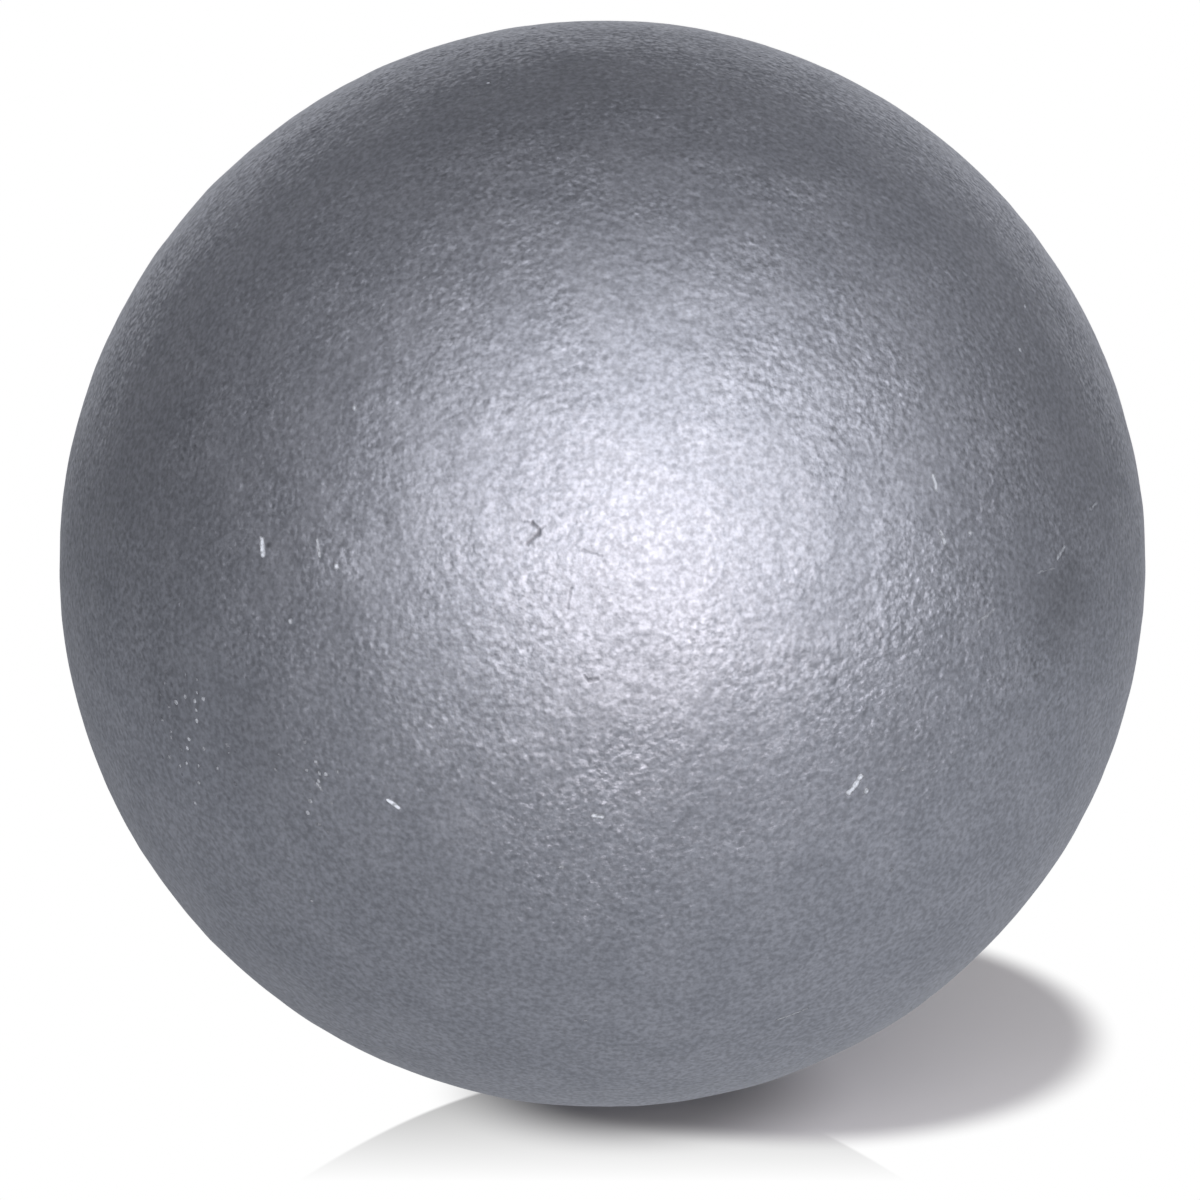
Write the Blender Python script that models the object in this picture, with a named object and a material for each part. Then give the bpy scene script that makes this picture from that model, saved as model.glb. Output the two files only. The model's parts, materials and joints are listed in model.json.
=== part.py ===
"""A cast-iron shot put, brought to weight with lead in a bore that a screw plug closes.

Units are metres, +Z is up, and the origin is the middle of the ground flat that the ball rests on.
The bore runs out of the back of the ball, along +Y. What is in it is modelled about the bore's axis:
local Z runs out of the ball, and the local origin is the middle of the ball.
"""

import math

import bmesh
import bpy

# The casting
BALL_DIAMETER = 0.125
FOOT_DIAMETER = 0.026  # flat where the feeder neck was ground off
RIM_CHAMFER = 0.0005  # broken edge where the recess meets the ball

# The screw plug
THREAD_DIAMETER = 0.020
THREAD_PITCH = 0.0025
SHANK_LENGTH = 0.014  # from the collar's underside to the nose
COLLAR_DIAMETER = 0.029
COLLAR_RIM = 0.004  # thickness at the collar's edge
FACE_SINK = 0.0004  # how far the plug's face lies below the ball's surface
RELIEF_WIDTH = 0.002  # plain neck between the collar and the thread
RELIEF_DEPTH = 0.0003  # below the root of the thread
NOSE_CHAMFER = 0.001
COLLAR_CHAMFER = 0.0004
SOCKET_ACROSS_FLATS = 0.010
SOCKET_DEPTH = 0.007
SOCKET_CHAMFER = 0.0006

# The washer and the filling
WASHER_THICKNESS = 0.0015
WASHER_CHAMFER = 0.0002
PACKING_THICKNESS = 0.003
TRIM_DISC_THICKNESS = 0.002
TRIM_DISC_COUNT = 3
SLUG_LENGTH = 0.020  # straight part of the poured lead
DISC_CHAMFER = 0.0003
DRILL_POINT_ANGLE = math.radians(118)

# Clearances
FIT_GAP = 0.0003  # between pieces that touch or slide
RECESS_CLEARANCE = 0.0005  # round the collar
FLANK_CLEARANCE = 0.0003  # along the axis, between the two threads
TAP_RUN_OUT_TURNS = 1  # tapped past the plug's nose
MOUTH_RUN_OUT_TURNS = 2  # thread cutter past the mouth

# Fineness of the round surfaces
AROUND = 64
FILLING_AROUND = 32
THREAD_STEPS = 32  # in each turn
SHARP_ANGLE = math.radians(35)
ARC_STEP = math.tau / AROUND
THREAD_PHASE = ARC_STEP / 4  # keeps the threads' corners off the edges of what they join or cut
WELD = 1e-6

# Places along the bore's axis, from the middle of the ball outwards
BALL_RADIUS = BALL_DIAMETER / 2
CENTRE_HEIGHT = math.sqrt(BALL_RADIUS**2 - (FOOT_DIAMETER / 2) ** 2)
COLLAR_RADIUS = COLLAR_DIAMETER / 2
FACE_RADIUS = BALL_RADIUS - FACE_SINK
COLLAR_EDGE = math.sqrt(FACE_RADIUS**2 - COLLAR_RADIUS**2)
COLLAR_UNDER = COLLAR_EDGE - COLLAR_RIM
WASHER_TOP = COLLAR_UNDER - FIT_GAP
WASHER_BOTTOM = WASHER_TOP - WASHER_THICKNESS
SEAT = WASHER_BOTTOM - FIT_GAP
NOSE = COLLAR_UNDER - SHANK_LENGTH
PACKING_TOP = NOSE - FIT_GAP
TRIM_TOP = PACKING_TOP - PACKING_THICKNESS - FIT_GAP
TRIM_SPACING = TRIM_DISC_THICKNESS + FIT_GAP
SLUG_TOP = TRIM_TOP - TRIM_DISC_COUNT * TRIM_SPACING
SOCKET_FLOOR = FACE_RADIUS - SOCKET_DEPTH

# Thread sizes, by the usual proportions of a 60 degree metric thread
FLANK_SLOPE = math.tan(math.radians(30))
PITCH_LINE_SHARE = 0.3248  # depth of the pitch line, as a share of the pitch
ROOT_SHARE = 0.6134  # depth of the plug's root
PITCH_RADIUS = THREAD_DIAMETER / 2 - PITCH_LINE_SHARE * THREAD_PITCH
CREST_RADIUS = THREAD_DIAMETER / 2 - FIT_GAP / 2
ROOT_RADIUS = THREAD_DIAMETER / 2 - ROOT_SHARE * THREAD_PITCH
NUT_ROOT_RADIUS = CREST_RADIUS + FIT_GAP
BORE_RADIUS = ROOT_RADIUS + FIT_GAP
MOUTH_RADIUS = NUT_ROOT_RADIUS + FIT_GAP
THREAD_START = NOSE + NOSE_CHAMFER + THREAD_PITCH / 2
THREAD_END = COLLAR_UNDER - RELIEF_WIDTH
THREAD_SINK = THREAD_PITCH / 12  # how far a thread's solid reaches past its own root

# The drilled chamber and the lead in it
FILL_RADIUS = BORE_RADIUS - FIT_GAP
POINT_HALF_ANGLE = DRILL_POINT_ANGLE / 2
POINT_SLOPE = 1 / math.tan(POINT_HALF_ANGLE)
CONE_GAP = FIT_GAP / math.sin(POINT_HALF_ANGLE)
SLUG_SHOULDER = SLUG_TOP - SLUG_LENGTH
SLUG_TIP = SLUG_SHOULDER - FILL_RADIUS * POINT_SLOPE
CHAMBER_TIP = SLUG_TIP - CONE_GAP
CHAMBER_SHOULDER = CHAMBER_TIP + BORE_RADIUS * POINT_SLOPE


def clear_scene():
    """Empty the scene before modelling."""
    for obj in list(bpy.data.objects):
        bpy.data.objects.remove(obj, do_unlink=True)


def finish(name, colour, metallic, roughness):
    """A material of one colour."""
    material = bpy.data.materials.new(name)
    material.use_nodes = True
    shader = material.node_tree.nodes["Principled BSDF"]
    shader.inputs["Base Color"].default_value = (*colour, 1.0)
    shader.inputs["Metallic"].default_value = metallic
    shader.inputs["Roughness"].default_value = roughness
    material.diffuse_color = (*colour, 1.0)
    return material


def place(name, bm, parent, material=None):
    """Turn a bmesh into a named object on its parent, shaded smooth between its sharp edges."""
    bmesh.ops.recalc_face_normals(bm, faces=bm.faces)
    mesh = bpy.data.meshes.new(name)
    bm.to_mesh(mesh)
    bm.free()
    mesh.shade_smooth()
    mesh.set_sharp_from_angle(angle=SHARP_ANGLE)
    obj = bpy.data.objects.new(name, mesh)
    obj.parent = parent
    bpy.context.scene.collection.objects.link(obj)
    if material:
        mesh.materials.append(material)
    return obj


def as_tool(obj):
    """Mark an object as a cutter or a guide, which isn't a piece."""
    obj.hide_render = True
    obj.display_type = "WIRE"
    return obj


def combine(obj, tool, operation):
    """Cut a tool out of an object, or join it on."""
    boolean = obj.modifiers.new(f"{operation.lower()}_{tool.name}", "BOOLEAN")
    boolean.operation = operation
    boolean.solver = "EXACT"
    boolean.object = tool


def arc(radius, first, last):
    """Points (across, along) on a circle about the ball's middle, by angles from the axis."""
    count = max(2, round(abs(last - first) / ARC_STEP))
    angles = [first + (last - first) * i / count for i in range(count + 1)]
    return [(radius * math.sin(angle), radius * math.cos(angle)) for angle in angles]


def turned(name, outline, parent, material=None, ring=False, around=AROUND):
    """Spin an outline of (across, along) points once round local Z. A ring's outline closes on itself."""
    bm = bmesh.new()
    verts = [bm.verts.new((across, 0.0, along)) for across, along in outline]
    ends = verts[1:] + verts[:1] if ring else verts[1:]
    edges = [bm.edges.new(pair) for pair in zip(verts, ends)]
    bmesh.ops.spin(
        bm,
        geom=verts + edges,
        cent=(0, 0, 0),
        axis=(0, 0, 1),
        angle=math.tau,
        steps=around,
        use_merge=True,
    )
    bmesh.ops.remove_doubles(bm, verts=bm.verts, dist=WELD)
    return place(name, bm, parent, material)


def disc_outline(radius, top, thickness, chamfer):
    """Half section of a plain disc with broken edges."""
    bottom = top - thickness
    return [
        (0.0, top),
        (radius - chamfer, top),
        (radius, top - chamfer),
        (radius, bottom + chamfer),
        (radius - chamfer, bottom),
        (0.0, bottom),
    ]


def flank_half_width(radius, clearance):
    """Half the width, along the axis, of a thread's ridge at a radius, eased or tightened by a clearance."""
    return THREAD_PITCH / 4 - (radius - PITCH_RADIUS) * FLANK_SLOPE + clearance


def thread(name, parent, crest, root, clearance, start, end):
    """A right-hand helical ridge from its root out to its crest, reaching a little inside the root."""
    inner = root - THREAD_SINK
    at_crest = flank_half_width(crest, clearance)
    at_inner = flank_half_width(inner, clearance)
    section = [(inner, -at_inner), (crest, -at_crest), (crest, at_crest), (inner, at_inner)]
    across_x = math.cos(THREAD_PHASE)
    across_y = math.sin(THREAD_PHASE)
    bm = bmesh.new()
    corners = [bm.verts.new((r * across_x, r * across_y, start + along)) for r, along in section]
    face = bm.faces.new(corners)
    steps = round((end - start) / THREAD_PITCH * THREAD_STEPS)
    bmesh.ops.spin(
        bm,
        geom=[face],
        cent=(0, 0, 0),
        axis=(0, 0, 1),
        dvec=(0, 0, THREAD_PITCH / THREAD_STEPS),
        angle=math.tau * steps / THREAD_STEPS,
        steps=steps,
    )
    return as_tool(place(name, bm, parent))


def make_shot_body(ball_centre, bore_axis, lacquer):
    """The ball on its foot, and at the back the plug's recess, the tapped hole and the drilled chamber."""
    foot_angle = math.pi - math.asin(FOOT_DIAMETER / BALL_DIAMETER)
    outline = arc(BALL_RADIUS, 0.0, math.pi / 2)
    outline += arc(BALL_RADIUS, math.pi / 2, foot_angle)[1:]
    outline.append((0.0, -CENTRE_HEIGHT))
    body = turned("shot_body", outline, ball_centre, lacquer)

    recess = COLLAR_RADIUS + RECESS_CLEARANCE
    rim = math.sqrt(BALL_RADIUS**2 - (recess + RIM_CHAMFER) ** 2) - RIM_CHAMFER
    flare = BALL_RADIUS - rim
    drilling = [
        (0.0, CHAMBER_TIP),
        (BORE_RADIUS, CHAMBER_SHOULDER),
        (BORE_RADIUS, SEAT - (MOUTH_RADIUS - BORE_RADIUS)),
        (MOUTH_RADIUS, SEAT),
        (recess, SEAT),
        (recess, rim),
        (recess + flare, rim + flare),
        (0.0, rim + flare),
    ]
    combine(body, as_tool(turned("drilling", drilling, bore_axis)), "DIFFERENCE")

    tap = thread(
        "tap",
        bore_axis,
        NUT_ROOT_RADIUS,
        BORE_RADIUS,
        FLANK_CLEARANCE / 2,
        THREAD_START - TAP_RUN_OUT_TURNS * THREAD_PITCH,
        SEAT + MOUTH_RUN_OUT_TURNS * THREAD_PITCH,
    )
    combine(body, tap, "DIFFERENCE")
    return body


def make_closing_plug(bore_axis, steel):
    """The screw plug: a threaded shank, a collar domed to the ball's curve and a hexagon socket."""
    rim_angle = math.asin((COLLAR_RADIUS - COLLAR_CHAMFER) / FACE_RADIUS)
    outline = [
        (0.0, NOSE),
        (ROOT_RADIUS - NOSE_CHAMFER, NOSE),
        (ROOT_RADIUS, NOSE + NOSE_CHAMFER),
        (ROOT_RADIUS, THREAD_END),
        (ROOT_RADIUS - RELIEF_DEPTH, THREAD_END + RELIEF_DEPTH),
        (ROOT_RADIUS - RELIEF_DEPTH, COLLAR_UNDER),
        (COLLAR_RADIUS - COLLAR_CHAMFER, COLLAR_UNDER),
        (COLLAR_RADIUS, COLLAR_UNDER + COLLAR_CHAMFER),
        (COLLAR_RADIUS, COLLAR_EDGE - COLLAR_CHAMFER),
    ]
    outline += arc(FACE_RADIUS, rim_angle, 0.0)
    plug = turned("closing_plug", outline, bore_axis, steel)

    ridge = thread(
        "plug_thread",
        bore_axis,
        CREST_RADIUS,
        ROOT_RADIUS,
        -FLANK_CLEARANCE / 2,
        THREAD_START,
        THREAD_END - THREAD_PITCH / 2,
    )
    combine(plug, ridge, "UNION")

    corner = SOCKET_ACROSS_FLATS / math.sqrt(3)
    bm = bmesh.new()
    bmesh.ops.create_cone(
        bm,
        cap_ends=True,
        segments=6,
        radius1=corner,
        radius2=corner,
        depth=2 * SOCKET_DEPTH,
    )
    bmesh.ops.translate(bm, verts=bm.verts, vec=(0, 0, SOCKET_FLOOR + SOCKET_DEPTH))
    combine(plug, as_tool(place("hexagon_broach", bm, bore_axis)), "DIFFERENCE")

    mouth = math.sqrt(FACE_RADIUS**2 - corner**2)
    countersink = [
        (0.0, mouth - SOCKET_CHAMFER - corner),
        (corner + 2 * SOCKET_CHAMFER, mouth + SOCKET_CHAMFER),
        (0.0, mouth + SOCKET_CHAMFER),
    ]
    combine(plug, as_tool(turned("socket_countersink", countersink, bore_axis)), "DIFFERENCE")
    return plug


def make_sealing_washer(bore_axis, copper):
    """The soft ring between the collar and the floor of the recess. It slips over the thread."""
    inner = CREST_RADIUS + FIT_GAP
    outline = [
        (inner, WASHER_TOP),
        (COLLAR_RADIUS - WASHER_CHAMFER, WASHER_TOP),
        (COLLAR_RADIUS, WASHER_TOP - WASHER_CHAMFER),
        (COLLAR_RADIUS, WASHER_BOTTOM + WASHER_CHAMFER),
        (COLLAR_RADIUS - WASHER_CHAMFER, WASHER_BOTTOM),
        (inner, WASHER_BOTTOM),
    ]
    return turned("sealing_washer", outline, bore_axis, copper, ring=True)


def make_filling(bore_axis, lead, fibre):
    """The poured lead, the lead discs on it and the hard disc that the plug presses on them."""
    slug = [
        (0.0, SLUG_TOP),
        (FILL_RADIUS - DISC_CHAMFER, SLUG_TOP),
        (FILL_RADIUS, SLUG_TOP - DISC_CHAMFER),
        (FILL_RADIUS, SLUG_SHOULDER),
        (0.0, SLUG_TIP),
    ]
    turned("lead_slug", slug, bore_axis, lead, around=FILLING_AROUND)
    for i in range(TRIM_DISC_COUNT):
        top = TRIM_TOP - i * TRIM_SPACING
        disc = disc_outline(FILL_RADIUS, top, TRIM_DISC_THICKNESS, DISC_CHAMFER)
        turned(f"trim_disc_{i + 1}", disc, bore_axis, lead, around=FILLING_AROUND)
    packing = disc_outline(FILL_RADIUS, PACKING_TOP, PACKING_THICKNESS, DISC_CHAMFER)
    turned("packing_disc", packing, bore_axis, fibre, around=FILLING_AROUND)


def main():
    clear_scene()
    lacquer = finish("silver_lacquer", (0.56, 0.565, 0.59), 0.9, 0.45)
    steel = finish("turned_steel", (0.58, 0.58, 0.57), 1.0, 0.32)
    copper = finish("soft_copper", (0.72, 0.38, 0.25), 1.0, 0.4)
    lead = finish("cast_lead", (0.24, 0.25, 0.27), 0.8, 0.6)
    fibre = finish("hard_fibre", (0.30, 0.07, 0.04), 0.0, 0.6)

    ball_centre = bpy.data.objects.new("ball_centre", None)
    ball_centre.location.z = CENTRE_HEIGHT
    bore_axis = bpy.data.objects.new("bore_axis", None)
    bore_axis.parent = ball_centre
    bore_axis.rotation_euler.x = -math.pi / 2
    bpy.context.scene.collection.objects.link(ball_centre)
    bpy.context.scene.collection.objects.link(bore_axis)

    make_shot_body(ball_centre, bore_axis, lacquer)
    make_filling(bore_axis, lead, fibre)
    make_sealing_washer(bore_axis, copper)
    make_closing_plug(bore_axis, steel)


main()
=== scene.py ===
"""A silver-lacquered cast-iron shot put in studio light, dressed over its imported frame.

Metres, +Z up. The origin is the middle of the ground flat, the photograph is taken from -Y, and the
plugged bore runs out of the back of the ball along +Y. A grid turned about the bore has its first column
at +X and its columns run towards -Z, so that a right-hand thread climbs along +Y.
"""

import json
import math

import bpy
import numpy as np
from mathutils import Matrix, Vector


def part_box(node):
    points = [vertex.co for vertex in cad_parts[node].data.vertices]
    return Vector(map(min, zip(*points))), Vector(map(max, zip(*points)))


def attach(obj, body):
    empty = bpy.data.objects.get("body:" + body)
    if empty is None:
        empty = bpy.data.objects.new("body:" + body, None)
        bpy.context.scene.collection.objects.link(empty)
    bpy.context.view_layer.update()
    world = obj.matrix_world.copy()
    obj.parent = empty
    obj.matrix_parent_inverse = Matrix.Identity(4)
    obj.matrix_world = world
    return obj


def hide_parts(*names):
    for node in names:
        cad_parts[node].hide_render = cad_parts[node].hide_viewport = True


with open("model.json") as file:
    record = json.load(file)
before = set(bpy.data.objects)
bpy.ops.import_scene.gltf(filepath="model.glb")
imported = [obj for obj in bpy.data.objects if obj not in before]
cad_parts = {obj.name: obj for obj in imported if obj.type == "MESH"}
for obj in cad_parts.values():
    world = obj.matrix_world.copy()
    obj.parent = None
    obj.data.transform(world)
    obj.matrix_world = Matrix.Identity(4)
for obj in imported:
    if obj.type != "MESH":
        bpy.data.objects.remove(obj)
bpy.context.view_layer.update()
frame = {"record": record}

MM = 0.001
BLACK = (0.0, 0.0, 0.0)
WHITE = (1.0, 1.0, 1.0)
NOWHERE = (0.0, 0.0, 0.0)

# Sizes that the frame gives
ball_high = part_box("shot_body")[1]
plug_low, plug_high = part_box("closing_plug")
washer_low, washer_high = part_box("sealing_washer")
slug_low, slug_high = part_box("lead_slug")
BALL_RADIUS = ball_high.x
CENTRE_HEIGHT = ball_high.z - BALL_RADIUS
COLLAR_RADIUS = plug_high.x
NOSE = plug_low.y
WASHER_TOP = washer_high.y
SLUG_TIP = slug_low.y
THREAD_PITCH = frame["record"]["behaviour"]["couplings"][0]["ratio"] * math.tau

# The plug and its hole, as in the part's source
FIT_GAP = 0.3 * MM
FACE_RADIUS = BALL_RADIUS - 0.4 * MM
COLLAR_EDGE = math.sqrt(FACE_RADIUS**2 - COLLAR_RADIUS**2)
COLLAR_UNDER = WASHER_TOP + FIT_GAP
SEAT = washer_low.y - FIT_GAP
RECESS_RADIUS = COLLAR_RADIUS + 0.5 * MM
THREAD_RADIUS = 10.0 * MM
PITCH_RADIUS = THREAD_RADIUS - 0.3248 * THREAD_PITCH
CREST_RADIUS = THREAD_RADIUS - FIT_GAP / 2
ROOT_RADIUS = THREAD_RADIUS - 0.6134 * THREAD_PITCH
GROOVE_RADIUS = CREST_RADIUS + FIT_GAP
BORE_RADIUS = ROOT_RADIUS + FIT_GAP
MOUTH_RADIUS = GROOVE_RADIUS + FIT_GAP
NOSE_CHAMFER = 1.0 * MM
THREAD_START = NOSE + NOSE_CHAMFER + THREAD_PITCH / 2
THREAD_END = COLLAR_UNDER - 2.0 * MM
THREAD_PHASE = math.radians(1.40625)
FLANK_CLEARANCE = 0.3 * MM
FLANK_SLOPE = math.tan(math.radians(30))
DRILL_HALF_ANGLE = math.radians(59)
DRILL_SLOPE = 1 / math.tan(DRILL_HALF_ANGLE)
HALF_FLATS = 5.0 * MM
SOCKET_FLOOR = FACE_RADIUS - 7.0 * MM
SOCKET_CHAMFER = 0.6 * MM

# The casting's ripples, each with its length and its height in millimetres, and their middle and deepest
# depth in millimetres
RIPPLES = [(11 * MM, 0.030), (5.5 * MM, 0.014), (3.0 * MM, 0.008)]
RIPPLE_MIDDLE = 0.10
RIPPLE_DEEPEST = 0.25

# Fineness of the grids
SKIN_AROUND = 400
SKIN_ROWS = 184
HOLE_AROUND = 100
PLUG_AROUND = 192
RING_AROUND = 120
ROWS_PER_TURN = 16

# The photograph's camera, with the ball's outline in its pixels
PHOTO_SIDE = 1200
OUTLINE_X = 602.4
OUTLINE_Y = 563.5
OUTLINE_RADIUS = 544.0
LENS = 100.0
SENSOR = 36.0
PIXELS_PER_TAN = PHOTO_SIDE * LENS / SENSOR
CAMERA_HEIGHT_ANGLE = math.radians(10)
ball_half_angle = math.atan(OUTLINE_RADIUS / PIXELS_PER_TAN)
CAMERA_DISTANCE = BALL_RADIUS / math.sin(ball_half_angle)
OFF_AXIS = 1 + math.tan(ball_half_angle) ** 2
PITCH_OFF = math.atan((PHOTO_SIDE / 2 - OUTLINE_Y) / PIXELS_PER_TAN / OFF_AXIS)
YAW_OFF = math.atan((OUTLINE_X - PHOTO_SIDE / 2) / PIXELS_PER_TAN / OFF_AXIS)

ball_centre = np.array([0.0, 0.0, CENTRE_HEIGHT])

# Where the photograph's lacquer is coarsest, with a strength, where it is finest and where its flakes lie
# flattest, in its pixels, and the side of the ball on which it is smoothest
COARSE_PATCHES = [(615, 850, 0.6), (935, 690, 0.5)]
FINE_PATCH = (480, 340)
FLAT_PATCH = (650, 540)
SMOOTH_SIDE = (0.567, 0.0, -0.824)

# The photograph's scratches: two ends in its pixels, a width in pixels and a strength
# The bright ones are bare metal, worn marks with a painted glint: colour scaled by strength, direction
# turned to the lamps
BRIGHT_STREAKS = [
    (849, 793, 862, 777, 5.5, 0.9),
    (261, 539, 262, 555, 4.5, 0.8),
    (316, 540, 319, 556, 3.0, 0.5),
    (388, 800, 398, 808, 4.0, 0.9),
    (777, 1021, 808, 1009, 3.5, 0.5),
    (316, 784, 322, 791, 3.5, 0.5),
    (1039, 573, 1055, 568, 2.5, 0.3),
    (1058, 558, 1065, 547, 4.0, 0.4),
    (1091, 510, 1098, 503, 4.5, 0.3),
    (980, 622, 994, 610, 3.5, 0.4),
    (934, 476, 937, 489, 4.0, 0.6),
    (941, 532, 945, 543, 4.0, 0.6),
    (594, 816, 602, 817, 4.5, 0.8),
]
# The dark ones are dents, whose dark colour is painted shade
DARK_STREAKS = [
    (524, 522, 532, 523, 2.5, 0.5),
    (532, 523, 539, 529, 3.5, 0.9),
    (539, 529, 537, 535, 4.0, 1.0),
    (537, 535, 527, 544, 3.5, 0.9),
    (539, 529, 545, 526, 2.5, 0.5),
    (583, 550, 602, 556, 2.5, 0.5),
    (571, 589, 568, 608, 2.5, 0.5),
    (585, 677, 589, 681, 3.0, 0.6),
    (589, 681, 597, 679, 3.0, 0.7),
    (634, 583, 641, 585, 3.5, 0.5),
]

# Its chips and pits: a pixel, a width in pixels and a strength
# The bright dots are bare chips, with a painted glint like the bright scratches
BRIGHT_DOTS = [
    (336, 567, 5.0, 0.8),
    (867, 791, 5.0, 0.9),
    (903, 770, 4.5, 0.5),
    (1021, 349, 5.0, 0.5),
    (1026, 306, 4.5, 0.4),
    (971, 533, 4.5, 0.5),
    (289, 621, 4.5, 0.5),
    (355, 407, 4.5, 0.7),
    (316, 763, 5.0, 0.5),
    (319, 774, 4.5, 0.5),
    (561, 868, 4.5, 0.6),
]
# The dark dots are pits, whose dark colour is painted shade
DARK_DOTS = [
    (809, 549, 4.5, 0.6),
    (267, 545, 5.0, 0.8),
]

# Its soft patches of painted shade, where the ball looks darker: a pixel, a width in pixels and a strength
SHADE_PATCHES = [
    (1066, 600, 80, 0.36),
    (905, 750, 90, 0.14),
    (790, 475, 110, 0.12),
    (830, 635, 80, 0.12),
    (265, 750, 110, 0.16),
    (165, 690, 80, 0.14),
]

# Where fine chips lie close together: a pixel, and how far they reach as a share of the ball's radius
SPRINKLES = [(312, 786, 0.12), (192, 735, 0.16)]

# The floor's shadow, to the right of the ball and behind it: a lamp's shadow shown only inside this ellipse,
# a painted outline with plain white outside it, and the middle of the painted contact shade under the ball
SHADOW_MIDDLE = (23 * MM, 18 * MM, 0.0)
SHADOW_WIDTH = 38.0 * MM
SHADOW_DEPTH = 43.5 * MM
CONTACT_SHADE_MIDDLE = (3 * MM, -8 * MM, 0.0)

# The ball's painted reflection in the floor: a parabola from a tip in front of the foot, which fades to an
# end.
# Its curve and its fade are per metre
MIRROR_TIP = 2.7 * MM
MIRROR_END = 38.5 * MM
MIRROR_EDGE = 0.7 * MM
MIRROR_CURVE = 32.9
MIRROR_FADE = 18.7

# Where the lamps' highlight lies, to the right of the camera's side and up, in degrees
HIGHLIGHT = (5.0, 9.5)

FLOOR_HALF_SIDE = 6.0


def direction(right, up):
    """Unit vector from the ball at a turn to the right of the camera's side and a height, in degrees."""
    turn = math.radians(right)
    height = math.radians(up)
    level = math.cos(height)
    return np.array([math.sin(turn) * level, -math.cos(turn) * level, math.sin(height)])


camera_place = ball_centre + CAMERA_DISTANCE * direction(0, math.degrees(CAMERA_HEIGHT_ANGLE))
camera = bpy.data.objects.new("camera", bpy.data.cameras.new("camera"))
camera.data.lens = LENS
camera.data.sensor_width = SENSOR
camera.data.clip_start = 0.01
camera.location = camera_place
camera.rotation_euler = (math.pi / 2 - CAMERA_HEIGHT_ANGLE - PITCH_OFF, 0.0, YAW_OFF)
bpy.context.scene.collection.objects.link(camera)
bpy.context.scene.camera = camera


def on_ball(pixel_x, pixel_y):
    """The way from the ball's centre to the point that a pixel of the photograph shows, of length 1."""
    ray = Vector((pixel_x - PHOTO_SIDE / 2, PHOTO_SIDE / 2 - pixel_y, -PIXELS_PER_TAN))
    ray.rotate(camera.rotation_euler)
    ray = np.array(ray.normalized())
    offset = ball_centre - camera_place
    along = offset @ ray
    miss = offset @ offset - along**2
    point = ray * (along - math.sqrt(max(BALL_RADIUS**2 - miss, 0.0))) - offset
    return point / np.linalg.norm(point)


class Wire:
    """An output of a material's nodes. Arithmetic on wires and numbers adds Math nodes."""

    def __init__(self, tree, socket):
        self.tree = tree
        self.socket = socket

    def node(self, kind, settings, sockets, output=0):
        """Add a node: first its settings, then the values or links of its sockets. Gives one output."""
        node = self.tree.nodes.new(kind)
        for name, value in settings.items():
            setattr(node, name, value)
        feed(node, sockets)
        return Wire(self.tree, node.outputs[output])

    def sum(self, operation, first, second):
        return self.node("ShaderNodeMath", {"operation": operation}, {0: first, 1: second})

    def __add__(self, other):
        return self.sum("ADD", self, other)

    def __radd__(self, other):
        return self.sum("ADD", other, self)

    def __sub__(self, other):
        return self.sum("SUBTRACT", self, other)

    def __rsub__(self, other):
        return self.sum("SUBTRACT", other, self)

    def __mul__(self, other):
        return self.sum("MULTIPLY", self, other)

    def __rmul__(self, other):
        return self.sum("MULTIPLY", other, self)


def feed(node, sockets):
    """Fill a node's sockets with wires or plain values."""
    for key, value in sockets.items():
        if isinstance(value, Wire):
            value.tree.links.new(value.socket, node.inputs[key])
        else:
            node.inputs[key].default_value = value


def noise(place, size, detail, roughness, output="Fac"):
    """Blender's noise with blobs of a size in metres, about 0.5 on average."""
    sockets = {"Vector": place, "Scale": 1 / size, "Detail": detail, "Roughness": roughness}
    return place.node("ShaderNodeTexNoise", {}, sockets, output)


def wander(place, size, detail):
    """A direction that wanders from place to place over a size in metres, and is none on average."""
    return vector(noise(place, size, detail, 0.5, "Color"), "SUBTRACT", (0.5, 0.5, 0.5))


def cells(place, size):
    """Distance to the nearest of scattered points, as a share of their spacing, and each point's chance."""
    reach = place.node("ShaderNodeTexVoronoi", {}, {"Vector": place, "Scale": 1 / size}, "Distance")
    colour = Wire(place.tree, reach.socket.node.outputs["Color"])
    return reach, axis(colour, "X")


def ramp(value, low, high, first=0.0, last=1.0):
    """A smooth step from one value to another as its input goes from low to high."""
    sockets = {"Value": value, 1: low, 2: high, 3: first, 4: last}
    return value.node("ShaderNodeMapRange", {"interpolation_type": "SMOOTHSTEP"}, sockets)


def tint(share, first, second):
    """Mix two colours, or wires of colour, by a share."""
    colours = [c if isinstance(c, Wire) else (*c, 1.0) for c in (first, second)]
    return share.node("ShaderNodeMix", {"data_type": "RGBA"}, {0: share, 6: colours[0], 7: colours[1]}, 2)


def blend(share, first, second):
    """Mix two directions by a share."""
    return share.node("ShaderNodeMix", {"data_type": "VECTOR"}, {0: share, 4: first, 5: second}, 1)


def vector(place, operation, other, output=0):
    """A Vector Math node on a place or a colour, with a vector or, to scale it, a number."""
    key = "Scale" if operation == "SCALE" else 1
    return place.node("ShaderNodeVectorMath", {"operation": operation}, {0: place, key: other}, output)


def axis(place, name):
    """One coordinate of a place."""
    return place.node("ShaderNodeSeparateXYZ", {}, {"Vector": place}, name)


def scaled(values, share):
    """A plain colour or direction, scaled by a wire."""
    return share.node("ShaderNodeVectorMath", {"operation": "SCALE"}, {0: values, "Scale": share})


def gap(way, x, y):
    """Distance from a way to the one that a pixel of the photograph shows, in radii of the ball."""
    return vector(way, "DISTANCE", tuple(on_ball(x, y)), "Value")


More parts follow.
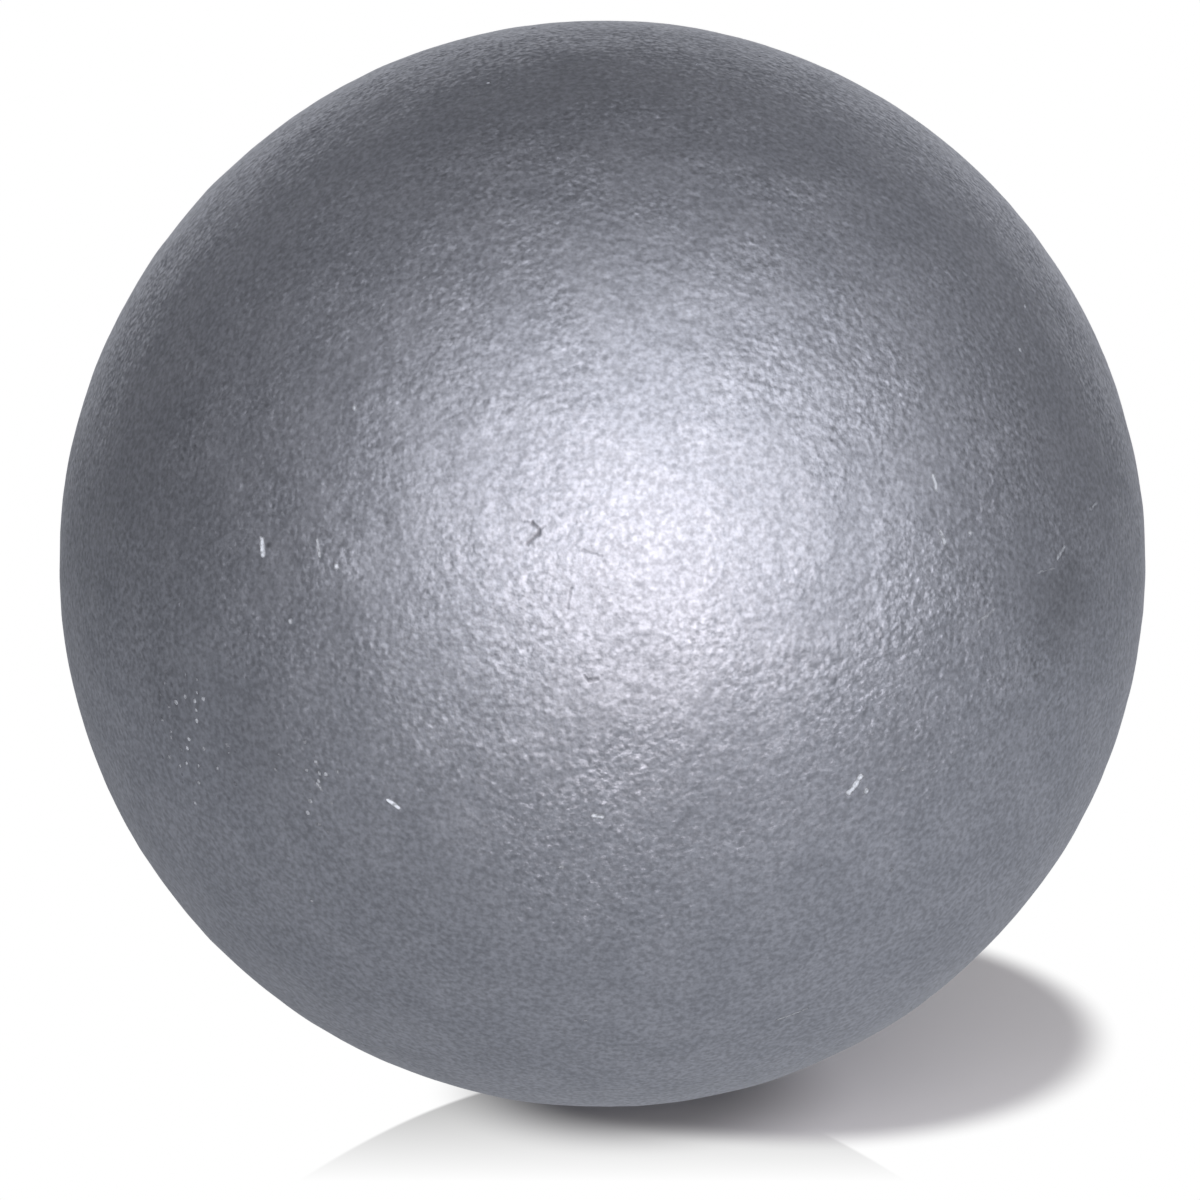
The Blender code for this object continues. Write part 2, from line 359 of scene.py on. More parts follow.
def spot(far, width, strength):
    """A mark's strength at a distance from its middle, for a width in pixels, with a soft edge."""
    reach = width / OUTLINE_RADIUS / 2
    return ramp(far, 1.7 * reach, 0.2 * reach, 0.0, strength)


def dot(way, x, y, width, strength):
    """A round mark at a pixel of the photograph: its strength there, 0 around it."""
    return spot(gap(way, x, y), width, strength)


def streak(way, x0, y0, x1, y1, width, strength):
    """A mark between two pixels of the photograph: its strength near their line, 0 away from it."""
    start = on_ball(x0, y0)
    line = on_ball(x1, y1) - start
    length = float(np.linalg.norm(line))
    heading = tuple(line / length)
    along = vector(vector(way, "SUBTRACT", tuple(start)), "DOT_PRODUCT", heading, "Value")
    held = along.node("ShaderNodeClamp", {}, {"Value": along, "Min": 0.0, "Max": length})
    foot = scaled(heading, held)
    far = vector(way, "DISTANCE", vector(foot, "ADD", tuple(start)), "Value")
    return spot(far, width, strength)


def most(values):
    """The highest of several wires."""
    best = values[0]
    for value in values[1:]:
        best = value.sum("MAXIMUM", best, value)
    return best


def new_finish(name):
    """A material, its shader, and the place on the piece that its patterns read."""
    material = bpy.data.materials.new(name)
    material.use_nodes = True
    tree = material.node_tree
    shader = tree.nodes["Principled BSDF"]
    place = Wire(tree, tree.nodes.new("ShaderNodeTexCoord").outputs["Object"])
    return material, shader, place


def bump(height, depth):
    """The normal of a surface that a height of 0 to 1 raises by a depth in metres."""
    sockets = {"Height": height, "Distance": depth, "Strength": 1.0}
    return height.node("ShaderNodeBump", {}, sockets)


def off_axis(place):
    """Distance from the bore's axis."""
    across = vector(vector(place, "SUBTRACT", tuple(ball_centre)), "MULTIPLY", (1.0, 0.0, 1.0))
    return vector(across, "LENGTH", NOWHERE, "Value")


def lathe(place, size):
    """Fine rings as a lathe leaves them: noise on the distances from the bore's axis and along it."""
    flat = place.node("ShaderNodeCombineXYZ", {}, {"X": off_axis(place), "Y": axis(place, "Y")})
    return noise(flat, size, 2.0, 0.6)


def silver_lacquer():
    """Aluminium paint on a sand-cast skin: flakes at odds, dapples, patches of painted shade, worn flecks
    and scratches.

    A flake's lie is noise added to the surface's direction. A bright mark is bare metal whose colour is
    scaled by its strength and which turns the direction to the lamps, as the wall of a dent does: worn metal
    with a painted glint.
    """
    material, shader, place = new_finish("silver_lacquer")
    way = vector(vector(place, "SUBTRACT", tuple(ball_centre)), "NORMALIZE", NOWHERE)
    coarse = most([
        ramp(gap(way, x, y), 0.30, 0.10, 0.0, strength)
        for x, y, strength in COARSE_PATCHES
    ])
    quiet = ramp(vector(way, "DOT_PRODUCT", SMOOTH_SIDE, "Value"), 0.58, 0.85, 1.0, 0.45)
    fine = ramp(gap(way, *FINE_PATCH), 0.50, 0.15, 0.0, 0.2)
    aside = ramp(gap(way, *FLAT_PATCH), 0.35, 0.95)
    loose = (0.28 + aside * 0.57) * quiet
    patch = ramp(noise(place, 9.0 * MM, 1.0, 0.5), 0.35, 0.65, 0.6, 1.1) + coarse - fine
    lie = wander(place, 0.55 * MM, 1.0)
    grain = noise(place, 0.42 * MM, 1.0, 0.4)
    lumps = noise(vector(place, "ADD", (0.1, 0.4, 0.2)), 0.75 * MM, 0.0, 0.5)
    leather = noise(place, 2.1 * MM, 1.0, 0.5)
    flake = noise(vector(place, "ADD", (0.3, 0.2, 0.1)), 0.6 * MM, 1.5, 0.6)
    dapple = noise(place, 7.0 * MM, 2.0, 0.5)
    stir = wander(place, 0.9 * MM, 1.0)
    shaken = vector(way, "ADD", vector(stir, "SCALE", 0.006))
    reach, chance = cells(place, 6.0 * MM)
    fleck = ramp(reach, 0.060, 0.030) * ramp(chance, 0.55, 0.60, 0.0, 0.4) * aside
    reach, chance = cells(place, 1.1 * MM)
    near = most([ramp(gap(way, x, y), far, far / 3) for x, y, far in SPRINKLES])
    chip = ramp(reach, 0.36, 0.16) * ramp(chance, 0.50, 0.54, 0.0, 0.5) * near
    streaks = [streak(shaken, *mark) for mark in BRIGHT_STREAKS]
    dots = [dot(shaken, *mark) for mark in BRIGHT_DOTS]
    bright = most([fleck, chip] + streaks + dots) * ramp(grain, 0.3, 0.6, 0.5, 1.0)
    # Dents and pits: a real dip in the surface, with painted shade in their colour
    cuts = [streak(shaken, *mark) for mark in DARK_STREAKS]
    pits = [dot(way, *mark) for mark in DARK_DOTS]
    dark = most(cuts + pits)
    height = (grain * 0.045 + lumps * 0.07) * patch + leather * 0.105 - dark * 0.04
    colour = tint(ramp(dapple, 0.3, 0.7), (0.43, 0.443, 0.502), (0.47, 0.482, 0.543))
    colour = tint(ramp(flake, 0.25, 0.75), vector(colour, "SCALE", 0.81), vector(colour, "SCALE", 1.19))
    # Soft dark patches painted into the colour as shade, their edges blurred by a wandering direction
    drift = wander(place, 4.0 * MM, 2.0)
    blurred = vector(way, "ADD", vector(drift, "SCALE", 0.08))
    colour = tint(most([dot(blurred, *mark) for mark in SHADE_PATCHES]), colour, (0.17, 0.175, 0.2))
    # Painted shade in the dents and pits
    colour = tint(dark * 0.65, colour, (0.06, 0.06, 0.07))
    # Bare metal, its colour scaled by the mark's strength and its direction turned to the lamps: worn marks
    # with a painted glint
    marked = ramp(bright, 0.05, 0.28)
    colour = tint(marked, colour, scaled((0.57, 0.61, 0.68), bright))
    facing = vector(bump(height, 1.0 * MM), "ADD", vector(lie, "SCALE", patch * loose))
    turned = marked * ramp(axis(way, "Y"), 0.0, -0.3, 0.0, 0.92)
    facing = blend(turned, facing, tuple(direction(*HIGHLIGHT)))
    feed(
        shader,
        {
            "Base Color": colour,
            "Metallic": 1.0,
            "Roughness": 0.56 - flake * 0.10,
            "Normal": vector(facing, "NORMALIZE", NOWHERE),
        },
    )
    return material


def machined_iron():
    """Turned and tapped grey iron, dark and a little oily, with tool rings and spots of rust."""
    material, shader, place = new_finish("machined_iron")
    stain = noise(place, 3.0 * MM, 3.0, 0.6)
    rust = ramp(noise(place, 1.4 * MM, 4.0, 0.65), 0.58, 0.68)
    rings = lathe(place, 0.16 * MM)
    colour = tint(ramp(stain, 0.35, 0.7), (0.20, 0.195, 0.19), (0.33, 0.325, 0.315))
    feed(
        shader,
        {
            "Base Color": tint(rust, colour, (0.19, 0.10, 0.06)),
            "Metallic": 1.0 - rust * 0.8,
            "Roughness": 0.34 + stain * 0.2 + rust * 0.25,
            "Normal": bump(rings + rust * 0.5, 0.02 * MM),
        },
    )
    return material


def turned_steel():
    """Bright turned steel: tool rings, nicks, an edge rubbed bright, and dirt with painted shade in the
    socket and under the collar.
    """
    material, shader, place = new_finish("turned_steel")
    stain = noise(place, 2.2 * MM, 3.0, 0.6)
    smear = noise(place, 6.0 * MM, 2.0, 0.5)
    rings = lathe(place, 0.7 * MM)
    across = off_axis(place)
    along = axis(place, "Y")
    # Darker in the hex socket and under the collar: dirt, and painted shade in these recesses
    inside = ramp(across, HALF_FLATS + 1.6 * MM, HALF_FLATS + 0.6 * MM)
    inside = inside * ramp(along, FACE_RADIUS - 0.7 * MM, FACE_RADIUS - 3.0 * MM)
    inside = inside * ramp(along, NOSE, SOCKET_FLOOR - MM)
    below = ramp(along, COLLAR_UNDER, COLLAR_UNDER - 1.0 * MM)
    dirt_and_shade = most([inside, below * 0.5]) * ramp(stain, 0.25, 0.6, 0.45, 1.0)
    rubbed = ramp(across, COLLAR_RADIUS - 0.9 * MM, COLLAR_RADIUS - 0.3 * MM)
    rubbed = rubbed * ramp(smear, 0.3, 0.6, 0.4, 1.0)
    reach, chance = cells(vector(place, "MULTIPLY", (1.0, 0.4, 1.0)), 3.2 * MM)
    nick = ramp(reach, 0.10, 0.04) * ramp(chance, 0.72, 0.76)
    colour = tint(ramp(stain, 0.3, 0.75), (0.47, 0.475, 0.485), (0.58, 0.585, 0.595))
    colour = tint(ramp(rings, 0.3, 0.7), vector(colour, "SCALE", 0.8), vector(colour, "SCALE", 1.1))
    colour = tint(rubbed, colour, (0.68, 0.685, 0.69))
    colour = tint(nick * 0.7, colour, (0.30, 0.29, 0.28))
    # Dirt and painted shade in the socket and under the collar
    colour = tint(dirt_and_shade * 0.75, colour, (0.13, 0.12, 0.11))
    dullness = 0.24 + stain * 0.12 + ramp(smear, 0.35, 0.65, 0.0, 0.10)
    feed(
        shader,
        {
            "Base Color": colour,
            "Metallic": 1.0 - dirt_and_shade * 0.35,
            "Roughness": dullness + dirt_and_shade * 0.2 - rubbed * 0.06,
            "Normal": bump(rings + stain * 0.5 - nick * 1.2, 0.04 * MM),
        },
    )
    return material


def soft_copper():
    """Annealed copper, with a dull bloom in patches."""
    material, shader, place = new_finish("soft_copper")
    bloom = noise(place, 2.0 * MM, 3.0, 0.6)
    feed(
        shader,
        {
            "Base Color": tint(ramp(bloom, 0.35, 0.7), (0.72, 0.38, 0.25), (0.42, 0.20, 0.13)),
            "Metallic": 1.0,
            "Roughness": 0.30 + bloom * 0.25,
            "Normal": bump(bloom, 0.02 * MM),
        },
    )
    return material


def cast_lead():
    """Dull oxidised lead with a paler bloom."""
    material, shader, place = new_finish("cast_lead")
    bloom = noise(place, 1.6 * MM, 4.0, 0.6)
    feed(
        shader,
        {
            "Base Color": tint(ramp(bloom, 0.3, 0.7), (0.17, 0.18, 0.20), (0.30, 0.31, 0.33)),
            "Metallic": 0.9,
            "Roughness": 0.5 + bloom * 0.25,
            "Normal": bump(bloom, 0.08 * MM),
        },
    )
    return material


def hard_fibre():
    """Red vulcanised fibre with a fine felted grain."""
    material, shader, place = new_finish("hard_fibre")
    felt = noise(place, 0.4 * MM, 4.0, 0.65)
    feed(
        shader,
        {
            "Base Color": tint(ramp(felt, 0.3, 0.7), (0.24, 0.05, 0.03), (0.36, 0.09, 0.05)),
            "Metallic": 0.0,
            "Roughness": 0.6 + felt * 0.2,
            "Normal": bump(felt, 0.03 * MM),
        },
    )
    return material


def turn(radius, along):
    """Points at radii and distances along the bore, on columns at equal angles round it."""
    radius, along = np.broadcast_arrays(radius, along)
    angle = np.arange(radius.shape[1]) * math.tau / radius.shape[1]
    return np.stack([radius * np.cos(angle), along, CENTRE_HEIGHT - radius * np.sin(angle)], axis=-1)


def waves(points, wavelength, seed, count=40):
    """A smooth random field of unit strength: a sum of cosines with random directions and phases."""
    rng = np.random.default_rng(seed)
    ways = rng.normal(size=(count, 3))
    stretch = rng.uniform(0.7, 1.4, (count, 1))
    phases = rng.uniform(0, math.tau, count)
    ways *= (math.tau / wavelength) * stretch / np.linalg.norm(ways, axis=1, keepdims=True)
    return np.cos(points @ ways.T + phases).sum(-1) * math.sqrt(2 / count)


def rounded(corner, before, after, steps):
    """Points of a rounded corner in a half section: a curve from before to after, leaning on the corner."""
    share = np.linspace(0, 1, steps)[:, None]
    return (1 - share) ** 2 * before + 2 * share * (1 - share) * corner + share**2 * after


def quads(index):
    """Faces of a grid of vertex numbers whose last column meets its first."""
    low = index[:-1]
    high = index[1:]
    return np.stack([low, np.roll(low, -1, 1), np.roll(high, -1, 1), high], axis=-1).reshape(-1, 4)


def piece(name, grids, body, nodes, materials, ring=False):
    """Make a closed piece of one or more grids of points and hang it on its body.

    A ring's rows close on themselves. Otherwise the first row and the last are the two poles, and between
    two grids each column of the coarser one meets a whole number of columns of the finer one. Each grid
    takes the material of its place in the list.
    """
    faces = []
    kinds = []
    starts = np.cumsum([0] + [g.shape[0] * g.shape[1] for g in grids])
    tables = [np.arange(g.shape[0] * g.shape[1]).reshape(g.shape[:2]) + s for g, s in zip(grids, starts)]
    for number, table in enumerate(tables):
        rows = table
        if ring:
            rows = np.vstack([table, table[:1]])
        if not ring and number == 0:
            pole = np.full(table.shape[1], table[0, 0])
            fan = np.stack([pole, np.roll(table[1], -1), table[1]], axis=-1)
            faces += fan.tolist()
            kinds += [number] * len(fan)
            rows = rows[1:]
        if not ring and number == len(tables) - 1:
            pole = np.full(table.shape[1], table[-1, 0])
            fan = np.stack([table[-2], np.roll(table[-2], -1), pole], axis=-1)
            faces += fan.tolist()
            kinds += [number] * len(fan)
            rows = rows[:-1]
        sides = quads(rows)
        faces += sides.tolist()
        kinds += [number] * len(sides)
        if number + 1 < len(tables):
            fine = table[-1]
            coarse = tables[number + 1][0]
            step = len(fine) // len(coarse)
            span = (np.arange(len(coarse))[:, None] * step + np.arange(step + 1)) % len(fine)
            join = np.column_stack([fine[span], np.roll(coarse, -1), coarse])
            faces += join.tolist()
            kinds += [number + 1] * len(join)
    points = np.concatenate([g.reshape(-1, 3) for g in grids])
    used = np.unique(np.concatenate([np.ravel(f) for f in faces]))
    number_of = np.full(len(points), -1)
    number_of[used] = np.arange(len(used))
    mesh = bpy.data.meshes.new(name)
    mesh.from_pydata(points[used].tolist(), [], [number_of[f].tolist() for f in faces])
    for material in materials:
        mesh.materials.append(material)
    mesh.polygons.foreach_set("material_index", np.minimum(kinds, len(materials) - 1))
    mesh.shade_smooth()
    mesh.set_sharp_from_angle(angle=math.radians(32))
    obj = bpy.data.objects.new(name, mesh)
    bpy.context.scene.collection.objects.link(obj)
    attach(obj, body)
    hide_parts(*nodes)


def helix_offset(along, around):
    """Distance along the bore from each grid point to the middle of the nearest turn of the thread."""
    angle = np.arange(around) * math.tau / around
    turns = (along - THREAD_START) / THREAD_PITCH - (angle - THREAD_PHASE) / math.tau
    return np.abs((turns + 0.5) % 1.0 - 0.5) * THREAD_PITCH


def fade(value, low, high):
    """A smooth step from 0 at low to 1 at high."""
    share = np.clip((value - low) / (high - low), 0, 1)
    return share * share * (3 - 2 * share)


def cast_ball(lacquer, iron):
    """The ball: a sphere pressed in by cast ripples and planed at its foot, and the hole behind it.

    The skin is turned about the bore from the front pole to the recess, at the ball's radius less a depth
    of random waves. The hole is a half section turned about the same axis. Its thread is a groove whose
    depth falls at a 60 degree flank from the nearest turn of a helix.
    """
    rim_radius = RECESS_RADIUS + 0.7 * MM
    rim_angle = math.pi - math.asin(rim_radius / BALL_RADIUS)
    slope = np.linspace(0, rim_angle, SKIN_ROWS)[:, None]
    unit = turn(np.sin(slope) * np.ones(SKIN_AROUND), -np.cos(slope)) - ball_centre
    skin = unit * BALL_RADIUS
    relief = sum(waves(skin, length, seed) * height for seed, (length, height) in enumerate(RIPPLES, 1))
    depth = np.clip(RIPPLE_MIDDLE - relief, 0.0, RIPPLE_DEEPEST) * MM
    depth *= fade(rim_angle - slope, 0.0, 2.5 * MM / BALL_RADIUS)
    skin = ball_centre + unit * (BALL_RADIUS - depth)[..., None]
    skin[..., 2] = np.maximum(skin[..., 2], 0.0)

    corner = np.array([RECESS_RADIUS, math.sqrt(BALL_RADIUS**2 - RECESS_RADIUS**2)])
    before = np.array([rim_radius, math.sqrt(BALL_RADIUS**2 - rim_radius**2)])
    after = corner - (0.0, 0.7 * MM)
    floor_corner = np.array([RECESS_RADIUS, SEAT])
    fillet = 0.4 * MM
    section = np.vstack([
        rounded(corner, before, after, 6)[1:],
        rounded(floor_corner, floor_corner + (0.0, fillet), floor_corner - (fillet, 0.0), 5),
    ])
    recess = turn(section[:, :1] * np.ones(SKIN_AROUND), section[:, 1:])
    skin = np.concatenate([skin, recess[:1]])

    chamfer = MOUTH_RADIUS - BORE_RADIUS
    mouth_radius = np.linspace(MOUTH_RADIUS, BORE_RADIUS, 13)[:-1]
    mouth_along = np.linspace(SEAT, SEAT - chamfer, 13)[:-1]
    tapped = np.arange(SEAT - chamfer, THREAD_START - THREAD_PITCH, -THREAD_PITCH / ROWS_PER_TURN)
    shoulder = SLUG_TIP - FIT_GAP / math.sin(DRILL_HALF_ANGLE) + BORE_RADIUS * DRILL_SLOPE
    section = np.vstack([
        [(MOUTH_RADIUS + 0.8 * MM, SEAT), (MOUTH_RADIUS + 0.1 * MM, SEAT)],
        np.column_stack([mouth_radius, mouth_along]),
        np.column_stack([np.full_like(tapped, BORE_RADIUS), tapped]),
        [(BORE_RADIUS, (tapped[-1] + shoulder) / 2), (BORE_RADIUS, shoulder)],
        [(BORE_RADIUS / 2, shoulder - BORE_RADIUS / 2 * DRILL_SLOPE)],
        [(0.0, shoulder - BORE_RADIUS * DRILL_SLOPE)],
    ])
    radius, along = section[:, :1], section[:, 1:]
    offset = helix_offset(along, HOLE_AROUND)
    groove = PITCH_RADIUS + (THREAD_PITCH / 4 - offset + FLANK_CLEARANCE / 2) / FLANK_SLOPE
    threaded = (along > THREAD_START - 0.9 * THREAD_PITCH) * (along < SEAT - 0.05 * MM)
    groove = np.minimum(groove, GROOVE_RADIUS) * threaded
    hole = turn(np.maximum(radius * np.ones(HOLE_AROUND), groove), along)
    finishes = [lacquer, iron, iron]
    piece("cast_ball", [skin, recess, hole], "shot", ["shot_body"], finishes)


def screw_plug(steel):
    """The closing plug: a half section turned about the bore, with a helical ridge and a hexagon socket.

    The ridge rises at a 60 degree flank from the nearest turn of a helix. The socket's radius is that of a
    hexagon: half its width across flats over the cosine of the angle to the nearest flat. Its countersink
    is a cone that meets the six walls in a scalloped edge.
    """
    chamfer = 0.4 * MM
    neck = ROOT_RADIUS - 0.3 * MM
    thread_along = np.arange(NOSE + NOSE_CHAMFER, THREAD_END, THREAD_PITCH / ROWS_PER_TURN)
    corner_under = np.array([COLLAR_RADIUS, COLLAR_UNDER])
    corner_face = np.array([COLLAR_RADIUS, COLLAR_EDGE])
    edge = np.array([COLLAR_RADIUS - chamfer, math.sqrt(FACE_RADIUS**2 - (COLLAR_RADIUS - chamfer) ** 2)])
    neck_corner = np.array([neck, COLLAR_UNDER])
    hex_corner = HALF_FLATS / math.cos(math.pi / 6)
    mouth = math.sqrt(FACE_RADIUS**2 - hex_corner**2)
    face_radius = np.linspace(edge[0], hex_corner + SOCKET_CHAMFER, 20)[1:]
    section = np.vstack([
        [(0.0, NOSE), (ROOT_RADIUS * 0.4, NOSE), (ROOT_RADIUS - NOSE_CHAMFER - 0.1 * MM, NOSE)],
        [(ROOT_RADIUS - NOSE_CHAMFER, NOSE + 0.03 * MM)],
        [(ROOT_RADIUS - 0.4 * NOSE_CHAMFER, NOSE + 0.6 * NOSE_CHAMFER)],
        np.column_stack([np.full_like(thread_along, ROOT_RADIUS), thread_along]),
        [(neck, THREAD_END + 0.3 * MM)],
        rounded(neck_corner, neck_corner - (0, 0.4 * MM), neck_corner + (0.4 * MM, 0), 5),
        rounded(corner_under, corner_under - (chamfer, 0), corner_under + (0, chamfer), 5),
        rounded(corner_face, corner_face - (0, chamfer), edge, 5),
        np.column_stack([face_radius, np.sqrt(FACE_RADIUS**2 - face_radius**2)]),
    ])
    radius, along = section[:, :1] * np.ones(PLUG_AROUND), section[:, 1:]
    offset = helix_offset(along, PLUG_AROUND)
    ridge = PITCH_RADIUS + (THREAD_PITCH / 4 - offset - FLANK_CLEARANCE / 2) / FLANK_SLOPE
    rise = np.clip(ridge, ROOT_RADIUS, CREST_RADIUS) - ROOT_RADIUS
    ends = fade(along, NOSE + 0.6 * NOSE_CHAMFER, NOSE + 2.6 * NOSE_CHAMFER)
    ends = ends * fade(along, THREAD_END, THREAD_END - 1.2 * MM)
    radius = radius + rise * ends

    angle = np.arange(PLUG_AROUND) * math.tau / PLUG_AROUND
    hexagon = HALF_FLATS / np.cos((angle + math.pi / 6) % (math.pi / 3) - math.pi / 6)
    scallop = mouth - SOCKET_CHAMFER + hexagon - hex_corner
    share = np.array([0.0, 0.02, 0.35, 0.7, 0.97])[:, None]
    wall_along = scallop + (SOCKET_FLOOR - scallop) * share
    wall_radius = hexagon * np.ones_like(share)
    floor_share = np.array([0.97, 0.6, 0.25, 0.0])[:, None]
    floor_radius = hexagon * floor_share
    floor_along = SOCKET_FLOOR * np.ones_like(floor_radius)
    radius = np.vstack([radius, wall_radius, floor_radius])
    along = np.vstack([along * np.ones(PLUG_AROUND), wall_along, floor_along])
    along = np.minimum(along, plug_high.y)
    piece("screw_plug", [turn(radius, along)], "plug", ["closing_plug"], [steel])


def soft_washer(copper):
    """The copper ring: a rounded rectangle turned about the bore."""
    inner = CREST_RADIUS + FIT_GAP
    low, high = washer_low.y, washer_high.y
    bevel = 0.25 * MM
    corners = np.array([(COLLAR_RADIUS, low), (COLLAR_RADIUS, high), (inner, high), (inner, low)])
    before = corners + bevel * np.array([(-1, 0), (0, -1), (1, 0), (0, 1)])
    after = corners + bevel * np.array([(0, 1), (-1, 0), (0, -1), (1, 0)])
    section = np.vstack([rounded(c, b, a, 5) for c, b, a in zip(corners, before, after)])
    points = turn(section[:, :1] * np.ones(RING_AROUND), section[:, 1:])
    piece("soft_washer", [points], "washer", ["sealing_washer"], [copper], ring=True)


def packed_disc(node, material, bevel, seed):
    """A disc in the bore: a rounded half section turned about it, its faces pressed in by random waves."""
    low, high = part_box(node)
    radius = high.x
    foot = np.array([radius, low.y])
    head = np.array([radius, high.y])
    spread = np.linspace(0, radius - bevel, 14)[:-1]
    section = np.vstack([
        np.column_stack([spread, np.full_like(spread, low.y)]),
        rounded(foot, foot - (bevel, 0), foot + (0, bevel), 5),
        rounded(head, head - (0, bevel), head - (bevel, 0), 5),
        np.column_stack([spread, np.full_like(spread, high.y)])[::-1],
    ])
    across, along = section[:, :1] * np.ones(RING_AROUND), section[:, 1:]
    points = turn(across, along)
    press = np.clip(1.2 - waves(points, 4 * MM, seed), 0, 2.4) * 0.02 * MM
    middle = (low.y + high.y) / 2
    inward = np.sign(middle - along) * (across < radius - bevel)
    points[..., 1] += inward * press * fade(radius - across, bevel, 3 * bevel)
    piece(f"{node}_face", [points], "shot", [node], [material])


def poured_slug(material):
    """The poured lead: the drilled chamber's cone and cylinder, with a dished top where the lead shrank."""
    radius = slug_high.x
    bevel = 0.5 * MM
    shoulder = SLUG_TIP + radius * DRILL_SLOPE
    head = np.array([radius, slug_high.y])
    cone = np.linspace(0, radius, 12)
    wall = np.linspace(shoulder, slug_high.y - bevel, 16)[1:-1]
    top = np.linspace(radius - bevel, 0, 16)[1:]
    dish = 0.6 * MM * fade(top, radius - bevel, 0.0)
    section = np.vstack([
        np.column_stack([cone, SLUG_TIP + cone * DRILL_SLOPE]),
        np.column_stack([np.full_like(wall, radius), wall]),
        rounded(head, head - (0, bevel), head - (bevel, 0), 5),
        np.column_stack([top, slug_high.y - dish]),
    ])
    points = turn(section[:, :1] * np.ones(RING_AROUND), section[:, 1:])
    piece("poured_slug", [points], "shot", ["lead_slug"], [material])


lacquer = silver_lacquer()
iron = machined_iron()
lead = cast_lead()
cast_ball(lacquer, iron)
screw_plug(turned_steel())
soft_washer(soft_copper())
poured_slug(lead)
for number in (1, 2, 3):
    packed_disc(f"trim_disc_{number}", lead, 0.5 * MM, 10 + number)
packed_disc("packing_disc", hard_fibre(), 0.3 * MM, 20)


def soft_lamp(name, right, up, distance, size, power, colour=WHITE, glossy=True):
    """A round soft lamp at a turn and a height from the ball, facing it."""
    lamp = bpy.data.objects.new(name, bpy.data.lights.new(name, "AREA"))
    lamp.data.shape = "DISK"
    lamp.data.size = size
    lamp.data.energy = power
    lamp.data.color = colour
    way = Vector(direction(right, up))
    lamp.location = Vector(ball_centre) + way * distance
    lamp.rotation_euler = way.to_track_quat("Z", "Y").to_euler()
    lamp.visible_glossy = glossy
    lamp.visible_camera = False
    bpy.context.scene.collection.objects.link(lamp)


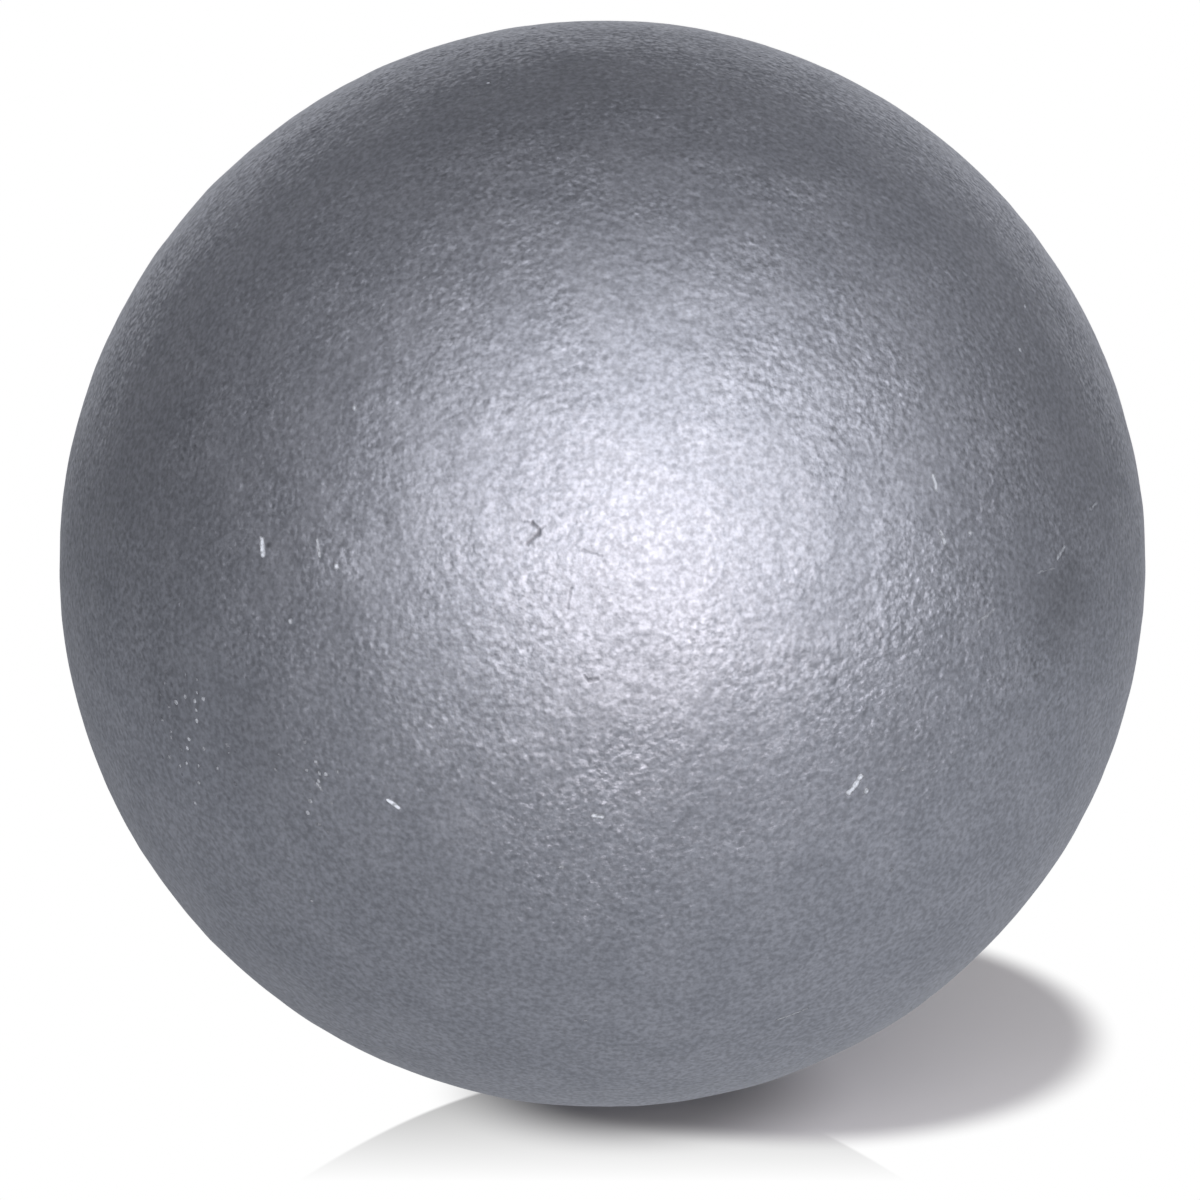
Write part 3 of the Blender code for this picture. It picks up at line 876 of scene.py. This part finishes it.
def pale_floor():
    """A white sheet with the ball's shadow inside a painted ellipse, a painted contact shade and a painted
    reflection of the ball, which shows as plain white elsewhere.

    The ball's reflections get a share of that white: less on its left and far away, more behind it, because
    its underside is dull in the photograph and its lower edge is pale.
    """
    material, shader, place = new_finish("pale_floor")
    tree = place.tree
    path = tree.nodes.new("ShaderNodeLightPath")
    direct = Wire(tree, path.outputs["Is Camera Ray"])
    through = Wire(tree, path.outputs["Is Transmission Ray"])
    glossy = Wire(tree, path.outputs["Is Glossy Ray"])
    share = ramp(axis(place, "X"), -80 * MM, 60 * MM, 0.37, 0.48)
    share = share * ramp(vector(place, "LENGTH", NOWHERE, "Value"), 100 * MM, 500 * MM, 1.0, 0.65)
    share = share * ramp(axis(vector(place, "NORMALIZE", NOWHERE), "Y"), 0.66, 0.92, 1.0, 2.0)
    seen = direct + through + glossy * share
    # The lamp's shadow shows only inside a painted ellipse; near the foot a painted contact shade darkens
    # the floor's colour
    offset = vector(place, "SUBTRACT", SHADOW_MIDDLE)
    offset = vector(offset, "MULTIPLY", (1 / SHADOW_WIDTH, 1 / SHADOW_DEPTH, 1.0))
    beyond = ramp(vector(offset, "LENGTH", NOWHERE, "Value"), 0.91, 1.09)
    touch = vector(place, "DISTANCE", CONTACT_SHADE_MIDDLE, "Value")
    away = beyond * ramp(touch, 8 * MM, 24 * MM)
    # Painted contact shade: the floor's colour darkens near the ball's foot
    contact_shaded = seen * ramp(touch, 10 * MM, 28 * MM, 0.4, 1.0)
    feed(
        shader,
        {
            "Base Color": tint(contact_shaded, BLACK, (0.91, 0.88, 0.88)),
            "Roughness": 0.8,
            "Specular IOR Level": 0.0,
        },
    )
    # Painted reflection of the ball: the floor's white darkens inside a parabola in front of the foot
    across = axis(place, "X")
    ahead = -1.0 * axis(place, "Y")
    within = ahead - across * across * MIRROR_CURVE
    inside = ramp(within, MIRROR_TIP - MIRROR_EDGE, MIRROR_TIP + MIRROR_EDGE)
    left_over = MIRROR_END - ahead
    painted_reflection = inside * left_over.sum("MAXIMUM", left_over, 0.0) * MIRROR_FADE * (1.0 - glossy)
    white = tint(glossy, WHITE, (0.965, 0.99, 1.02))
    white = tint(seen * (1.0 - painted_reflection), BLACK, white)
    plain = place.node("ShaderNodeEmission", {}, {"Color": white})
    lit = Wire(tree, shader.outputs["BSDF"])
    mixed = place.node("ShaderNodeMixShader", {}, {0: most([away, glossy]), 1: lit, 2: plain})
    feed(tree.nodes["Material Output"], {"Surface": mixed})
    mesh = bpy.data.meshes.new("floor")
    corners = np.array([(-1, -1, 0), (1, -1, 0), (1, 1, 0), (-1, 1, 0)]) * FLOOR_HALF_SIDE
    mesh.from_pydata(corners.tolist(), [], [(0, 1, 2, 3)])
    mesh.materials.append(material)
    obj = bpy.data.objects.new("floor", mesh)
    bpy.context.scene.collection.objects.link(obj)


def studio():
    """A dim room with a white backdrop behind the ball and a glow high on each side, white to the camera."""
    world = bpy.data.worlds.new("studio")
    bpy.context.scene.world = world
    world.use_nodes = True
    tree = world.node_tree
    background = tree.nodes["Background"]
    way = Wire(tree, tree.nodes.new("ShaderNodeTexCoord").outputs["Generated"])
    camera_ray = Wire(tree, tree.nodes.new("ShaderNodeLightPath").outputs["Is Camera Ray"])
    right = ramp(vector(way, "DOT_PRODUCT", (0.72, -0.12, 0.68), "Value"), 0.45, 0.95)
    left = ramp(vector(way, "DOT_PRODUCT", (-0.72, -0.12, 0.68), "Value"), 0.45, 0.95)
    behind = ramp(axis(way, "Y"), 0.66, 0.91) * ramp(axis(way, "Z"), 0.78, 0.34)
    level = 0.047 + right * 0.25 + left * 0.18 + behind * 0.95
    room = tint(level, BLACK, (0.985, 1.0, 1.03))
    feed(background, {"Color": tint(camera_ray, room, WHITE), "Strength": 1.0})


studio()
pale_floor()
soft_lamp("key_lamp", right=7.6, up=6.0, distance=0.6, size=0.40, power=0.92, colour=(1.0, 0.89, 0.84))
soft_lamp("wide_lamp", right=8.8, up=13.6, distance=0.5, size=1.0, power=3.75, colour=(0.99, 1.0, 1.02))
soft_lamp("shadow_lamp", right=-50.0, up=55.0, distance=0.6, size=0.40, power=5.8, glossy=False)

bpy.context.scene.view_settings.view_transform = "Standard"
